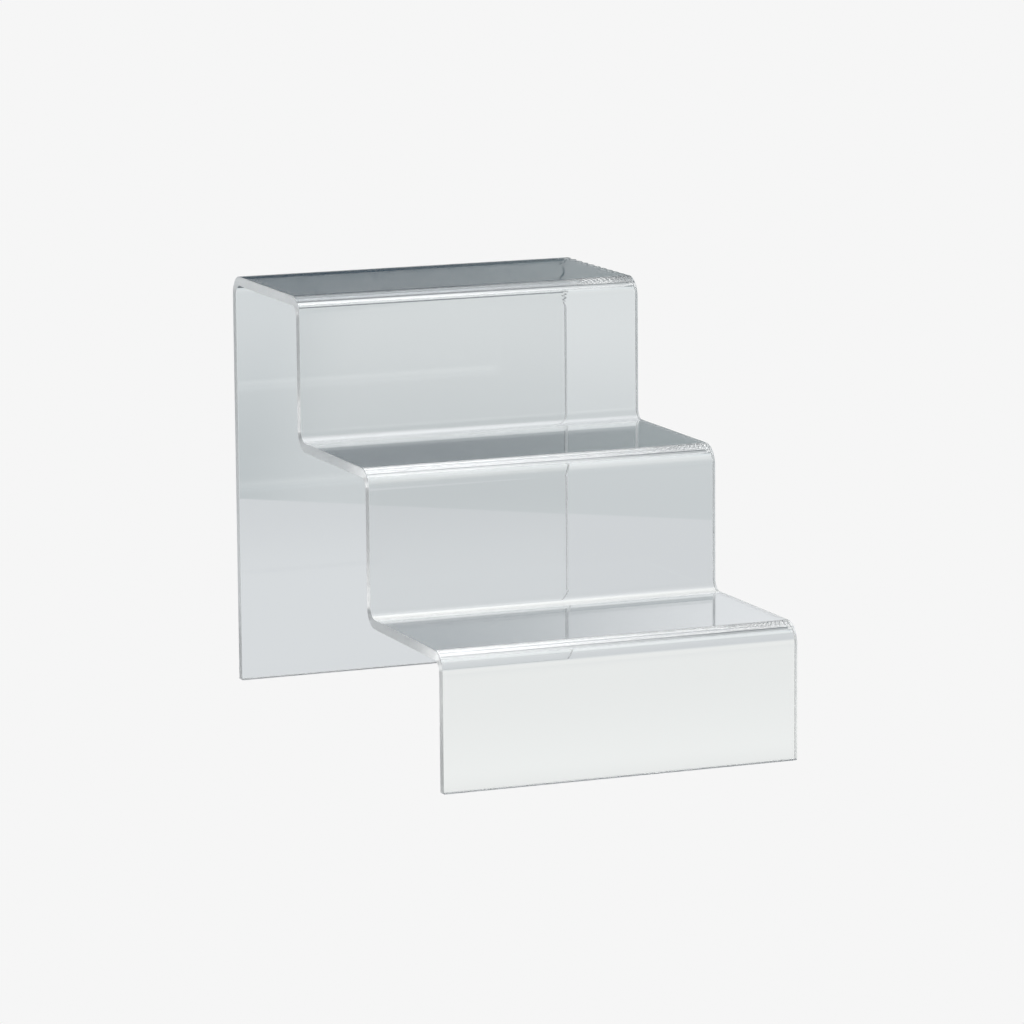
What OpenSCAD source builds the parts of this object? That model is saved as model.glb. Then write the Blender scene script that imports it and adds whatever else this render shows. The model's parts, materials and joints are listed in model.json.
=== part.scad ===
// Tiered shelf riser: one sheet of clear acrylic, heat-bent along straight lines into a flight of steps.
// Seen from the side, the sheet rises as the front panel, runs back as a shelf, rises again as a riser, and so on.
// Behind the top shelf it bends down once more into a full-height back panel. Both ends are open.
// Origin: centre of the footprint, on the surface that the riser stands on. Front faces -Y, +Z is up.

/* [Sheet] */
// Width of the sheet, from one open end to the other
sheet_w = 152; // [80:1:400]
// Thickness of the sheet
sheet_t = 4; // [2:0.5:8]
// Radius inside each bend
bend_r = 4.5; // [2:0.5:8]

/* [Steps] */
// Number of shelves
tiers = 3; // [1:1:6]
// Distance from one riser's front face to the next
tread_pitch = 80; // [50:1:200]
// Height of the lowest shelf's top face, which the front panel holds up
front_h = 56; // [40:1:160]
// Height from one shelf's top face to the next
riser_h = 60; // [40:1:160]

/* [Hidden] */
// Facets round a full circle
$fn = 96;
// Radius outside each bend
outer_r = bend_r + sheet_t;
// Whole depth: the treads, and the back panel's own thickness
depth = tiers * tread_pitch + sheet_t;
front_y = -depth / 2;
back_y = depth / 2;
last_tier = tiers - 1;
// Which way a quarter bend faces, as a turn of the quarter that curves towards +Y and +Z
back_turn = 0;
nose_turn = 90;
foot_turn = -90;

// Y of the front face of riser i, where riser 0 is the front panel
function riser_y(i) = front_y + i * tread_pitch;

// Z of the top face of shelf i, where shelf 0 is the lowest
function shelf_z(i) = front_h + i * riser_h;

// A flat stretch of the sheet's cross-section, between two corners
module flat_stretch(y0, z0, y1, z1) {
    translate([y0, z0])
        square([y1 - y0, z1 - z0]);
}

// A quarter bend of the sheet's cross-section, about its centre of curvature
module quarter_bend(y, z, turn) {
    translate([y, z])
        rotate(turn)
            difference() {
                intersection() {
                    circle(r = outer_r);
                    square(outer_r);
                }
                circle(r = bend_r);
            }
}

// The upright stretch under shelf i: it starts at the table, or above the bend at the foot of the riser
module riser(i) {
    foot_z = i == 0 ? 0 : shelf_z(i - 1) + bend_r;
    flat_stretch(riser_y(i), foot_z, riser_y(i) + sheet_t, shelf_z(i) - outer_r);
}

// The level stretch of shelf i: it ends at the next riser's foot, or at the bend into the back panel
module shelf(i) {
    rear_y = i == last_tier ? back_y - outer_r : riser_y(i + 1) - bend_r;
    flat_stretch(riser_y(i) + outer_r, shelf_z(i) - sheet_t, rear_y, shelf_z(i));
}

// The bend over the front edge of shelf i
module nose(i) {
    quarter_bend(riser_y(i) + outer_r, shelf_z(i) - outer_r, nose_turn);
}

// The bend where shelf i turns up into the riser behind it
module foot(i) {
    quarter_bend(riser_y(i + 1) - bend_r, shelf_z(i) + bend_r, foot_turn);
}

// The bend behind the top shelf, and the panel that runs from it down to the table
module back_panel() {
    quarter_bend(back_y - outer_r, shelf_z(last_tier) - outer_r, back_turn);
    flat_stretch(back_y - sheet_t, 0, back_y, shelf_z(last_tier) - outer_r);
}

// The whole cross-section, drawn in the YZ plane
module side_section() {
    for (i = [0 : last_tier]) {
        riser(i);
        nose(i);
        shelf(i);
    }
    for (i = [0 : 1 : last_tier - 1]) {
        foot(i);
    }
    back_panel();
}

module bent_sheet() {
    color([0.86, 0.90, 0.92, 0.45])
        rotate([90, 0, 90])
            linear_extrude(height = sheet_w, center = true)
                side_section();
}

bent_sheet();
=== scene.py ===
import json
import math

import bmesh
import bpy
from mathutils import Matrix, Vector


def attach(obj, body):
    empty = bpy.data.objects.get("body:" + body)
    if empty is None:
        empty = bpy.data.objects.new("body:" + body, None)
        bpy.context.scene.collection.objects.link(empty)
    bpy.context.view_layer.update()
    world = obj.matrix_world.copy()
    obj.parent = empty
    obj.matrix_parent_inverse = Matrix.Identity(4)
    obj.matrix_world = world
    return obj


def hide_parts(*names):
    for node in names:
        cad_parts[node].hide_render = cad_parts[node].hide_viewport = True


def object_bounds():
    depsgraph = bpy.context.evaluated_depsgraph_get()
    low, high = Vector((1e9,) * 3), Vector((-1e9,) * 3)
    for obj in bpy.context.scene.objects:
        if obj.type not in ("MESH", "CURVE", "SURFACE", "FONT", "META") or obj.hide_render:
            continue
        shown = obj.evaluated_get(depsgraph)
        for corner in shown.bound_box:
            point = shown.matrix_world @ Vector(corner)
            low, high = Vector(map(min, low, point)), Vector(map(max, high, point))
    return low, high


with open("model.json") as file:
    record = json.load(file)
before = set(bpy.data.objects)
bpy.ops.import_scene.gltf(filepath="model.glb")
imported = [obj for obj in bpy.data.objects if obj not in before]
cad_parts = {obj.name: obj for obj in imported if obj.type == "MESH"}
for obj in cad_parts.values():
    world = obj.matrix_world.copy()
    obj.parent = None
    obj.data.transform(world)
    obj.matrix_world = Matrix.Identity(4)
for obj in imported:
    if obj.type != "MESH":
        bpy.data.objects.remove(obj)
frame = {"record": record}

# ---------------------------------------------------------------- sizes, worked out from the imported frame
CAD_LOW, CAD_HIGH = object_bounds()
MOUNTS = {m["name"]: Vector(m["pos_m"]) for m in frame["record"]["mounts"]}
SHELF_MOUNTS = ("bottom_shelf_top", "middle_shelf_top", "top_shelf_top")
MM = 0.001
WIDTH = CAD_HIGH.x - CAD_LOW.x
FRONT_Y, BACK_Y = CAD_LOW.y, CAD_HIGH.y
THICKNESS = 2 * (MOUNTS["front_foot"].y - FRONT_Y)
SHELF_HEIGHTS = [MOUNTS[name].z for name in SHELF_MOUNTS]
TREAD_PITCH = MOUNTS["middle_shelf_top"].y - MOUNTS["bottom_shelf_top"].y
INNER_RADIUS = 4.5 * MM      # of the bends in the CAD
OUTER_RADIUS = INNER_RADIUS + THICKNESS
CENTRE = (CAD_LOW + CAD_HIGH) / 2

# ---------------------------------------------------------------- how the sheet is finished
ARRIS = 0.25 * MM            # the softened edge round every cut
QUARTER_TURN = math.radians(90)
BEND_STEPS = 48              # stations round each quarter bend
FLAT_STEP = 1.1 * MM         # between stations on the flats
WIDTH_STEPS = 16             # columns across the sheet
CUTTER_PITCH = 6.6 * MM      # waves that the cutter left on the right edge of the top shelf
CUTTER_DEPTH = 1.9 * MM
CUTTER_LEAN = 0.6            # how much narrower the notches are than the teeth, 0 to 1
CUTTER_END = 1.3             # where the waves end, as a share of the way from the front bend to the back one
CUTTER_RISE, CUTTER_FALL = 0.625, 0.15     # shares of that way over which they deepen and fade
HEATED = 14 * MM             # how far from a bend's middle the heat marks reach
HEAT_CORE = 0.4 * HEATED     # and how far they are at their strongest


# ---------------------------------------------------------------- the photograph's viewpoint
VIEW_AZIMUTH = math.radians(-21.88)
VIEW_ELEVATION = math.radians(9.95)
VIEW_ROLL = math.radians(0.457)
VIEW_DISTANCE = 2.2165
AIM_RIGHT, AIM_UP = 2.42 * MM, -0.92 * MM
LENS_MM, SENSOR_MM = 188.4, 36
FARTHEST_SEEN = 20           # metres


def add_camera():
    """A long lens at the left front, a little above the top shelf."""
    a, e = VIEW_AZIMUTH, VIEW_ELEVATION
    back = Vector((math.sin(a) * math.cos(e), -math.cos(a) * math.cos(e), math.sin(e)))
    right = Vector((math.cos(a), math.sin(a), 0))
    up = back.cross(right)
    turned_right = right * math.cos(VIEW_ROLL) - up * math.sin(VIEW_ROLL)
    turned_up = right * math.sin(VIEW_ROLL) + up * math.cos(VIEW_ROLL)
    place = CENTRE + turned_right * AIM_RIGHT + turned_up * AIM_UP + back * VIEW_DISTANCE
    data = bpy.data.cameras.new("camera")
    data.lens = LENS_MM
    data.sensor_width = SENSOR_MM
    data.clip_end = FARTHEST_SEEN
    camera = bpy.data.objects.new("camera", data)
    turned = Matrix((turned_right, turned_up, back)).transposed().to_4x4()
    camera.matrix_world = Matrix.Translation(place) @ turned
    bpy.context.scene.collection.objects.link(camera)
    bpy.context.scene.camera = camera


# ---------------------------------------------------------------- the sheet's path, seen from the side
class Station:
    """One place along the sheet: a point on the outer face, its directions, and how far along it is."""

    def __init__(self, point, looks, runs, travel):
        self.point = point
        self.looks = looks
        self.runs = runs
        self.travel = travel


class Path:
    """Walks along the sheet's upper or outer face and leaves stations behind."""

    def __init__(self, y, z):
        self.point = Vector((0, y, z))
        self.runs = Vector((0, 0, 1))
        self.travel = 0.0
        self.stations = []
        self.bend_middles = []

    def looks(self):
        """The outer face is on the left of the way that the path runs, seen from the sheet's left end."""
        return Vector((0, -self.runs.z, self.runs.y))

    def flat(self, length):
        """A straight stretch. Its last station belongs to what follows."""
        steps = math.ceil(length / FLAT_STEP)
        for step in range(steps):
            done = length * step / steps
            place = self.point + self.runs * done
            self.stations.append(Station(place, self.looks(), self.runs, self.travel + done))
        self.point = self.point + self.runs * length
        self.travel += length

    def bend(self, outward):
        """A quarter bend: outward over a shelf's front edge, or inward at the foot of a riser."""
        radius = OUTER_RADIUS if outward else INNER_RADIUS
        side = -1 if outward else 1
        centre = self.point + self.looks() * radius * side
        start, runs = self.looks(), self.runs
        length = QUARTER_TURN * (INNER_RADIUS + OUTER_RADIUS) / 2
        for step in range(BEND_STEPS):
            turn = QUARTER_TURN * step / BEND_STEPS
            looks = start * math.cos(turn) - runs * math.sin(turn) * side
            ahead = runs * math.cos(turn) + start * math.sin(turn) * side
            done = length * step / BEND_STEPS
            self.stations.append(Station(centre - looks * radius * side, looks, ahead, self.travel + done))
        self.bend_middles.append(self.travel + length / 2)
        self.travel += length
        self.point = centre + runs * radius
        self.runs = start * side

    def end(self):
        self.stations.append(Station(self.point, self.looks(), self.runs, self.travel))

    def from_bend(self, travel):
        """How far a place is from the middle of the nearest bend."""
        return min(abs(travel - middle) for middle in self.bend_middles)


def sheet_path():
    """From the front foot, up over the shelves and down the back panel."""
    foot = CAD_LOW.z + ARRIS
    path = Path(FRONT_Y, foot)
    for tier, height in enumerate(SHELF_HEIGHTS):
        path.flat(height - OUTER_RADIUS - foot)
        path.bend(outward=True)
        if tier < len(SHELF_HEIGHTS) - 1:
            path.flat(TREAD_PITCH - OUTER_RADIUS - INNER_RADIUS)
            path.bend(outward=False)
            foot = height + INNER_RADIUS
    riser_y = FRONT_Y + TREAD_PITCH * (len(SHELF_HEIGHTS) - 1)
    path.flat(BACK_Y - riser_y - 2 * OUTER_RADIUS)
    path.bend(outward=True)
    path.flat(SHELF_HEIGHTS[-1] - OUTER_RADIUS - CAD_LOW.z - ARRIS)
    path.end()
    return path


def cutter_wave(path, travel):
    """How deep the cutter's waves are at a place on the right edge, and how fast they deepen along it."""
    front, back = path.bend_middles[-2:]
    share = (travel - front) / (back - front)
    if not 0 < share < CUTTER_END:
        return 0.0, 0.0
    fade = min(1.0, share / CUTTER_RISE, (CUTTER_END - share) / CUTTER_FALL)
    turn = math.tau * (travel - back) / CUTTER_PITCH
    phase = turn - CUTTER_LEAN * math.sin(turn)
    depth = CUTTER_DEPTH * fade * (1 - math.cos(phase)) / 2
    quickening = 1 - CUTTER_LEAN * math.cos(turn)
    return depth, CUTTER_DEPTH * fade * math.sin(phase) * quickening * math.pi / CUTTER_PITCH


class Shell:
    """Gathers the vertices of the sheet with their normals and places, and its faces with their materials."""

    def __init__(self, path):
        self.path = path
        self.points, self.normals, self.places = [], [], []
        self.faces, self.slots = [], []

    def vertex(self, point, normal, travel):
        self.points.append(point)
        self.normals.append(normal)
        self.places.append((point.x, travel))
        return len(self.points) - 1

    def face(self, slot, *corners):
        self.faces.append(corners)
        self.slots.append(slot)

    def strip(self, slot, a, b):
        """Quads between two rows of vertices."""
        for i in range(len(a) - 1):
            self.face(slot, a[i], a[i + 1], b[i + 1], b[i])


FACE, CUT = 0, 1             # material slots: the moulded faces, and the sawn and flamed edges


def cap_pair(shell, station, side):
    """The two vertices on the cut face at one station, on the left or the right end."""
    depth, slope = cutter_wave(shell.path, station.travel) if side > 0 else (0.0, 0.0)
    x = side * (WIDTH / 2 - depth)
    looks = (Vector((side, 0, 0)) + station.runs * slope).normalized()
    pair = []
    for below in (ARRIS, THICKNESS - ARRIS):
        place = station.point - station.looks * below
        pair.append(shell.vertex(Vector((x, place.y, place.z)), looks, station.travel))
    return pair


def face_row(shell, station, below, looks):
    """A row of vertices across the sheet at one station, on its outer or its inner face."""
    row = []
    place = station.point - station.looks * below
    reach = WIDTH / 2 - ARRIS
    for k in range(WIDTH_STEPS + 1):
        right = reach - cutter_wave(shell.path, station.travel)[0] if k == WIDTH_STEPS else reach
        x = -reach + (right + reach) * k / WIDTH_STEPS
        row.append(shell.vertex(Vector((x, place.y, place.z)), looks, station.travel))
    return row


def close_foot(shell, station, outer, inner, left_pair, right_pair):
    """The cut face that the front or the back panel stands on, with its arrises."""
    down = Vector((0, 0, -1))
    rows = []
    for below in (ARRIS, THICKNESS - ARRIS):
        y = (station.point - station.looks * below).y
        xs = [shell.points[v].x for v in outer]
        rows.append([shell.vertex(Vector((x, y, CAD_LOW.z)), down, station.travel) for x in xs])
    high, low = rows
    shell.strip(CUT, high, low)
    shell.strip(CUT, outer, high)
    shell.strip(CUT, inner, low)
    for pair, column in ((left_pair, 0), (right_pair, -1)):
        shell.strip(CUT, pair, [high[column], low[column]])
        shell.face(CUT, outer[column], pair[0], high[column])
        shell.face(CUT, inner[column], pair[1], low[column])


def build_sheet():
    """The bent sheet as one closed mesh, with softened arrises and exact normals on its faces and bends."""
    path = sheet_path()
    shell = Shell(path)
    outer = [face_row(shell, s, 0.0, s.looks) for s in path.stations]
    inner = [face_row(shell, s, THICKNESS, -s.looks) for s in path.stations]
    left = [cap_pair(shell, s, -1) for s in path.stations]
    right = [cap_pair(shell, s, 1) for s in path.stations]
    for slot, rows in ((FACE, outer), (FACE, inner), (CUT, left), (CUT, right)):
        for a, b in zip(rows, rows[1:]):
            shell.strip(slot, a, b)
    for cap, column in ((left, 0), (right, -1)):
        shell.strip(CUT, [row[column] for row in outer], [pair[0] for pair in cap])
        shell.strip(CUT, [row[column] for row in inner], [pair[1] for pair in cap])
    for end in (0, -1):
        close_foot(shell, path.stations[end], outer[end], inner[end], left[end], right[end])
    mesh = bpy.data.meshes.new("acrylic_sheet")
    mesh.from_pydata([tuple(p) for p in shell.points], [], shell.faces)
    mesh.polygons.foreach_set("material_index", shell.slots)
    mesh.update()
    turn_outwards(mesh, shell.normals)
    map_sheet(mesh, shell)
    sheet = bpy.data.objects.new("acrylic_sheet", mesh)
    bpy.context.scene.collection.objects.link(sheet)
    return sheet


def map_sheet(mesh, shell):
    """Two maps in metres: across and along the sheet, and how far each place is from the nearest bend."""
    flat = mesh.uv_layers.new(name="sheet")
    heat = mesh.uv_layers.new(name="from_bend")
    for loop in mesh.loops:
        across, travel = shell.places[loop.vertex_index]
        flat.data[loop.index].uv = (across, travel)
        heat.data[loop.index].uv = (shell.path.from_bend(travel), 0)


def turn_outwards(mesh, normals):
    """Makes every face look the way its vertices' own normals do, then sets those normals."""
    work = bmesh.new()
    work.from_mesh(mesh)
    work.verts.ensure_lookup_table()
    wrong = [f for f in work.faces if f.normal.dot(sum((normals[v.index] for v in f.verts), Vector())) < 0]
    bmesh.ops.reverse_faces(work, faces=wrong)
    for face in work.faces:
        face.smooth = True
    work.to_mesh(mesh)
    work.free()
    mesh.normals_split_custom_set_from_vertices([tuple(n) for n in normals])


# ---------------------------------------------------------------- materials
CLEAR = (0.985, 0.99, 0.99, 1)             # what each pass through a face lets by
CUT_LIGHT = (1.0, 1.0, 1.0, 1)             # and through an edge, where it is least and most clouded
CUT_DEEP = (0.97, 0.985, 0.99, 1)
ACRYLIC_IOR = 1.49
CUT_ROUGH = (0.28, 0.40)                   # the edges, where they are smoothest and roughest
HAZE = 0.012                               # the faces, where they are hazy or scuffed
WAVE_DEPTH = 0.003 * MM
RIPPLE_DEPTH = 0.002 * MM
SAW_DEPTH = 0.001 * MM

# Soft noises over the sheet's own map, each stretched across and along it
WAVES = {"stretch": (0.5, 1), "scale": 22, "detail": 1.0, "seed": 7.7}
HEAT_RIPPLES = {"stretch": (0.06, 1), "scale": 260, "detail": 1.5, "seed": 3.1}
WIPED_HAZE = {"stretch": (0.35, 1), "scale": 40, "detail": 4.0, "seed": 1.3}
SCUFFS = {"stretch": (6, 0.5), "scale": 300, "detail": 3.0, "seed": 5.9}
EDGE_CLOUD = {"stretch": (1, 1), "scale": 120, "detail": 3.0, "seed": 2.2}
SAW_MARKS = {"stretch": (0.4, 1), "scale": 2500, "detail": 2.0, "seed": 4.4}
HAZE_SPREAD = (0.45, 0.75)                 # the noise values between which each of them fades in
SCUFF_SPREAD = (0.62, 0.72)
CLOUD_SPREAD = (0.3, 0.7)


class Nodes:
    """A node tree with short ways to add sums, ramps and blends to it."""

    def __init__(self, tree):
        self.tree = tree
        tree.nodes.clear()

    def add(self, kind, **settings):
        node = self.tree.nodes.new(kind)
        for name, value in settings.items():
            setattr(node, name, value)
        return node

    def feed(self, socket, value):
        """Sets a socket to a number or a colour, or links it to another node's output."""
        if isinstance(value, bpy.types.NodeSocket):
            self.tree.links.new(value, socket)
        else:
            socket.default_value = value

    def sum(self, operation, *values):
        """The outcome of one operation on numbers."""
        node = self.add("ShaderNodeMath", operation=operation)
        for socket, value in zip(node.inputs, values):
            self.feed(socket, value)
        return node.outputs[0]

    def dot(self, vector, along):
        """How far a vector goes along a fixed direction."""
        node = self.add("ShaderNodeVectorMath", operation="DOT_PRODUCT")
        self.feed(node.inputs[0], vector)
        node.inputs[1].default_value = along
        return node.outputs["Value"]

    def ramp(self, value, start, end, low=0.0, high=1.0):
        """A smooth change from low to high as value goes from start to end."""
        node = self.add("ShaderNodeMapRange", interpolation_type="SMOOTHSTEP")
        for name, number in (("From Min", start), ("From Max", end), ("To Min", low), ("To Max", high)):
            node.inputs[name].default_value = number
        self.feed(node.inputs["Value"], value)
        return node.outputs["Result"]

    def blend(self, share, first, second):
        """A colour that goes from first to second as share goes from 0 to 1."""
        node = self.add("ShaderNodeMix", data_type="RGBA")
        for socket, value in zip((node.inputs[0], node.inputs[6], node.inputs[7]), (share, first, second)):
            self.feed(socket, value)
        return node.outputs[2]


def new_material(name):
    material = bpy.data.materials.new(name)
    material.use_nodes = True
    return material, Nodes(material.node_tree)


def glass_shader(nodes, colour):
    """Clear acrylic on its own: what passes through, its refraction and its output."""
    out = nodes.add("ShaderNodeOutputMaterial")
    shader = nodes.add("ShaderNodeBsdfPrincipled")
    nodes.feed(shader.inputs["Base Color"], colour)
    shader.inputs["Transmission Weight"].default_value = 1
    shader.inputs["IOR"].default_value = ACRYLIC_IOR
    nodes.feed(out.inputs["Surface"], shader.outputs[0])
    return shader


def noise(nodes, place, stretch, scale, detail, seed):
    """Soft noise over the sheet's own map, stretched across and along it."""
    move = nodes.add("ShaderNodeMapping")
    move.inputs["Location"].default_value = (seed, seed, 0)
    move.inputs["Scale"].default_value = (stretch[0], stretch[1], 1)
    nodes.feed(move.inputs["Vector"], place)
    node = nodes.add("ShaderNodeTexNoise")
    node.inputs["Scale"].default_value = scale
    node.inputs["Detail"].default_value = detail
    nodes.feed(node.inputs["Vector"], move.outputs[0])
    return node.outputs["Fac"]


def bump(nodes, height, depth, under=None):
    """A bump of the given depth in metres, on top of another one."""
    node = nodes.add("ShaderNodeBump")
    node.inputs["Strength"].default_value = 1.0
    node.inputs["Distance"].default_value = depth
    nodes.feed(node.inputs["Height"], height)
    if under is not None:
        nodes.feed(node.inputs["Normal"], under)
    return node.outputs[0]


def acrylic():
    """The moulded faces: clear, barely wavy, with heat ripples along the bends and faint wiped haze."""
    material, nodes = new_material("clear_acrylic")
    shader = glass_shader(nodes, CLEAR)
    place = nodes.add("ShaderNodeUVMap", uv_map="sheet").outputs[0]
    apart = nodes.dot(nodes.add("ShaderNodeUVMap", uv_map="from_bend").outputs[0], (1, 0, 0))
    near_bend = nodes.ramp(apart, HEAT_CORE, HEATED, 1, 0)
    ripple = nodes.sum("MULTIPLY", noise(nodes, place, **HEAT_RIPPLES), near_bend)
    relief = bump(nodes, noise(nodes, place, **WAVES), WAVE_DEPTH)
    relief = bump(nodes, ripple, RIPPLE_DEPTH, relief)
    nodes.feed(shader.inputs["Normal"], relief)
    haze = nodes.ramp(noise(nodes, place, **WIPED_HAZE), *HAZE_SPREAD, 0.0, HAZE)
    scuff = nodes.ramp(noise(nodes, place, **SCUFFS), *SCUFF_SPREAD, 0.0, HAZE)
    nodes.feed(shader.inputs["Roughness"], nodes.sum("ADD", haze, scuff))
    return material


def cut_edge():
    """The edges: sawn, then lightly flamed, so half matt. They glow, and hide what is behind them."""
    material, nodes = new_material("cut_edge")
    place = nodes.add("ShaderNodeUVMap", uv_map="sheet").outputs[0]
    cloud = noise(nodes, place, **EDGE_CLOUD)
    shader = glass_shader(nodes, nodes.blend(cloud, CUT_LIGHT, CUT_DEEP))
    nodes.feed(shader.inputs["Roughness"], nodes.ramp(cloud, *CLOUD_SPREAD, *CUT_ROUGH))
    nodes.feed(shader.inputs["Normal"], bump(nodes, noise(nodes, place, **SAW_MARKS), SAW_DEPTH))
    return material


# ---------------------------------------------------------------- the studio
PAPER = (0.921, 0.921, 0.921, 1)           # the plain pale ground that the camera sees

# What the acrylic mirrors instead: a dark studio with a soft ceiling light and two lit strips on its wall.
# Everything there runs along the sheet, so its height is an angle in degrees:
# 0 is level behind the sheet, 90 is overhead and 180 is level in front.
BACKDROP = ((0.64, 0.675, 0.69, 1), (0.70, 0.745, 0.765, 1))    # low behind the table, left and right
DARK = (0.0, 0.005, 0.012, 1)
STUDIO = (
    # lower edge, how soft that edge is, colour towards the left, colour towards the right
    (5.0, 1.2, (0.0, 0.023, 0.045, 1), (0.133, 0.175, 0.185, 1)),       # shade behind the backdrop
    (10.9, 0.35, (0.18, 0.215, 0.24, 1), (0.81, 0.83, 0.85, 1)),        # the low strip
    (13.2, 0.5, DARK, DARK),                                            # the wall between the strips
    (21.5, 0.7, (0.46, 0.52, 0.57, 1), (0.46, 0.52, 0.57, 1)),          # the high strip
    (26.0, 0.8, DARK, DARK),                                            # the wall above them
    (39.5, 3.0, (0.84, 0.87, 0.88, 1), (0.40, 0.43, 0.44, 1)),          # the ceiling by the wall
    (69.0, 5.0, (3.1, 3.1, 3.1, 1), (1.60, 1.62, 1.64, 1)),             # the soft light overhead
    (112.0, 13.0, (0.38, 0.36, 0.32, 1), (0.38, 0.36, 0.32, 1)),        # the ceiling behind the camera
    (140.0, 15.0, (0.03, 0.05, 0.04, 1), (0.03, 0.05, 0.04, 1)),        # the room there
    (164.0, 6.0, (0.21, 0.225, 0.23, 1), (0.21, 0.225, 0.23, 1)),       # its lower wall
)
SIDE_WALL = (0.50, 0.52, 0.53, 1)
SIDE_FROM, SIDE_TO = 0.55, 0.8             # sideways share of the way, where the side walls begin
RIGHT_FROM, RIGHT_TO = 0.345, 0.41         # sideways share of the way, from the left of a band to its right


def studio_colour(nodes, angle, sideways):
    """The studio, band over band, from the backdrop over the ceiling to the room behind the camera."""
    right = nodes.ramp(sideways, RIGHT_FROM, RIGHT_TO)
    colour = nodes.blend(right, *BACKDROP)
    for edge, soft, to_left, to_right in STUDIO:
        band = to_left if to_left == to_right else nodes.blend(right, to_left, to_right)
        colour = nodes.blend(nodes.ramp(angle, edge - soft, edge + soft), colour, band)
    side = nodes.ramp(nodes.sum("ABSOLUTE", sideways), SIDE_FROM, SIDE_TO)
    return nodes.blend(side, colour, SIDE_WALL)


def add_world():
    """A pale backdrop for the camera, and for what the acrylic shows a dark studio under a soft light."""
    world = bpy.data.worlds.new("studio")
    bpy.context.scene.world = world
    world.use_nodes = True
    nodes = Nodes(world.node_tree)
    out = nodes.add("ShaderNodeOutputWorld")
    way = nodes.add("ShaderNodeTexCoord").outputs["Generated"]
    height = nodes.dot(way, (0, 0, 1))
    away = nodes.dot(way, (0, 1, 0))
    sideways = nodes.dot(way, (1, 0, 0))
    turn = nodes.sum("ARCTAN2", nodes.sum("ABSOLUTE", height), away)
    room = studio_colour(nodes, nodes.sum("MULTIPLY", turn, math.degrees(1)), sideways)
    seen = nodes.add("ShaderNodeLightPath").outputs["Is Camera Ray"]
    background = nodes.add("ShaderNodeBackground")
    nodes.feed(background.inputs["Color"], nodes.blend(seen, room, PAPER))
    nodes.feed(out.inputs["Surface"], background.outputs[0])


# The table as the acrylic shows it, and the floor beyond its far edge. Both are painted light: each place
# glows with the brightness that light would give it, darker towards the front, lighter under the sheet and to
# the right, with painted shade past the far edge and under the feet
TABLE_FRONT = (0.16, 0.165, 0.165, 1)
TABLE_UNDER = (0.868, 0.883, 0.875, 1)
TABLE_BEHIND = (0.675, 0.70, 0.72, 1)
BEYOND_EDGE = ((0.54, 0.58, 0.595, 1), (0.62, 0.655, 0.67, 1))      # the floor just past it, in painted shade, left and right
FAR_FLOOR = ((0.685, 0.72, 0.735, 1), (0.76, 0.79, 0.80, 1))
FOOT_SHADE = (0.45, 0.50, 0.53, 1)
FOOT_CORE, FOOT_REACH = 0.4 * THICKNESS, 0.75 * THICKNESS           # from the foot's middle
FRONT_FROM, FRONT_TO = -0.3, -0.08         # y, from the front of the table to the part under the sheet
BEHIND_FROM, BEHIND_TO = 0.08, 0.135       # y, from there to the part behind the sheet
EDGE_BEARING = math.radians(39)            # the table's far edge runs slantwise
EDGE_DISTANCE, EDGE_BLUR = 0.48, 0.003
FAR_FROM, FAR_TO = 0.5, 1.2                # distance, from the floor past the edge to the far floor
LEFT_TO, RIGHT_AT = -0.15, -0.09           # across the photograph's view, from the floor's left to its right
FLOOR_HALF = 20.0
FLOOR_GAP = 0.2 * MM                       # between the floor and the sheet's feet


def foot_shade(nodes, place, depth):
    """The dark line on the table where each panel stands, 1 under the foot and 0 away from it."""
    shade = 0.0
    for foot in (MOUNTS["front_foot"], MOUNTS["back_foot"]):
        apart = nodes.sum("ABSOLUTE", nodes.sum("SUBTRACT", depth, foot.y))
        under = nodes.ramp(apart, FOOT_CORE, FOOT_REACH, 1, 0)
        shade = nodes.sum("MAXIMUM", shade, under)
    across = nodes.sum("ABSOLUTE", nodes.dot(place, (1, 0, 0)))
    return nodes.sum("MULTIPLY", shade, nodes.ramp(across, WIDTH / 2, WIDTH / 2 + THICKNESS, 1, 0))


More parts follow.
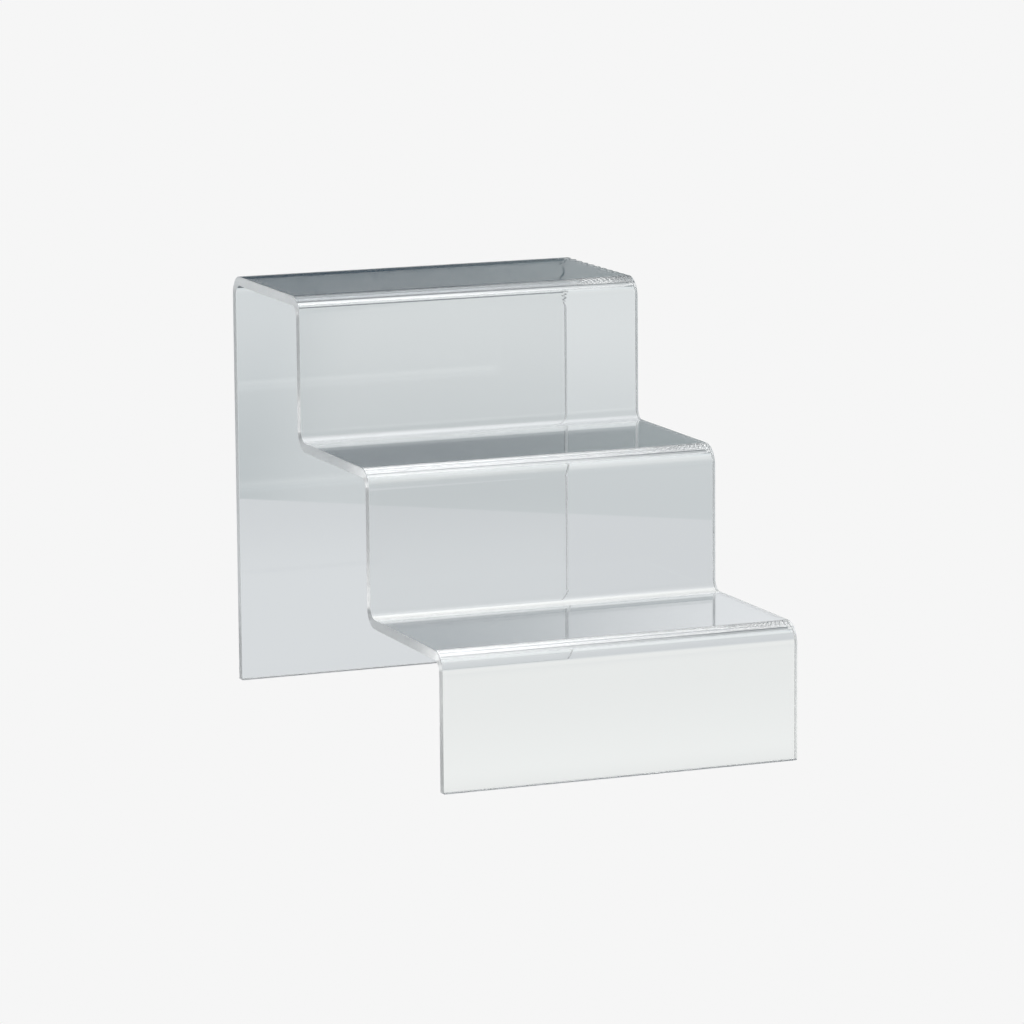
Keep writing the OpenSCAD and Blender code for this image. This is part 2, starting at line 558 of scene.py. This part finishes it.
def add_floor():
    """A plain pale floor for the camera. Through the acrylic it is a table top that glows with painted light
    and painted shade, its far edge in shade.
    """
    corners = ((-1, -1), (1, -1), (1, 1), (-1, 1))
    z = CAD_LOW.z - FLOOR_GAP
    mesh = bpy.data.meshes.new("floor")
    mesh.from_pydata([(FLOOR_HALF * x, FLOOR_HALF * y, z) for x, y in corners], [], [(0, 1, 2, 3)])
    floor = bpy.data.objects.new("floor", mesh)
    bpy.context.scene.collection.objects.link(floor)
    material, nodes = new_material("table")
    out = nodes.add("ShaderNodeOutputMaterial")
    place = nodes.add("ShaderNodeNewGeometry").outputs["Position"]
    depth = nodes.dot(place, (0, 1, 0))
    distance = nodes.dot(place, (math.sin(EDGE_BEARING), math.cos(EDGE_BEARING), 0))
    table = nodes.blend(nodes.ramp(depth, FRONT_FROM, FRONT_TO), TABLE_FRONT, TABLE_UNDER)
    table = nodes.blend(nodes.ramp(depth, BEHIND_FROM, BEHIND_TO), table, TABLE_BEHIND)
    across = nodes.dot(place, (math.cos(VIEW_AZIMUTH), math.sin(VIEW_AZIMUTH), 0))
    right = nodes.ramp(across, LEFT_TO, RIGHT_AT)
    far_share = nodes.ramp(distance, FAR_FROM, FAR_TO)
    beyond = nodes.blend(far_share, nodes.blend(right, *BEYOND_EDGE), nodes.blend(right, *FAR_FLOOR))
    past_edge = nodes.ramp(distance, EDGE_DISTANCE - EDGE_BLUR, EDGE_DISTANCE + EDGE_BLUR)
    table = nodes.blend(past_edge, table, beyond)
    table = nodes.blend(foot_shade(nodes, place, depth), table, FOOT_SHADE)
    seen = nodes.add("ShaderNodeLightPath").outputs["Is Camera Ray"]
    # this glow paints the table's light and shade for what the acrylic shows; the camera sees the plain paper
    emission = nodes.add("ShaderNodeEmission")
    nodes.feed(emission.inputs["Color"], nodes.blend(seen, table, PAPER))
    nodes.feed(out.inputs["Surface"], emission.outputs[0])
    mesh.materials.append(material)


# ---------------------------------------------------------------- the scene
MOST_BOUNCES, MOST_MIRRORINGS = 64, 48     # light runs a long way inside the sheet


def main():
    scene = bpy.context.scene
    scene.view_settings.view_transform = "Standard"
    scene.cycles.max_bounces = MOST_BOUNCES
    scene.cycles.glossy_bounces = MOST_MIRRORINGS
    scene.cycles.transmission_bounces = MOST_BOUNCES
    add_camera()
    add_world()
    add_floor()
    sheet = build_sheet()
    sheet.data.materials.append(acrylic())
    sheet.data.materials.append(cut_edge())
    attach(sheet, "root")
    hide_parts("bent_sheet")


main()
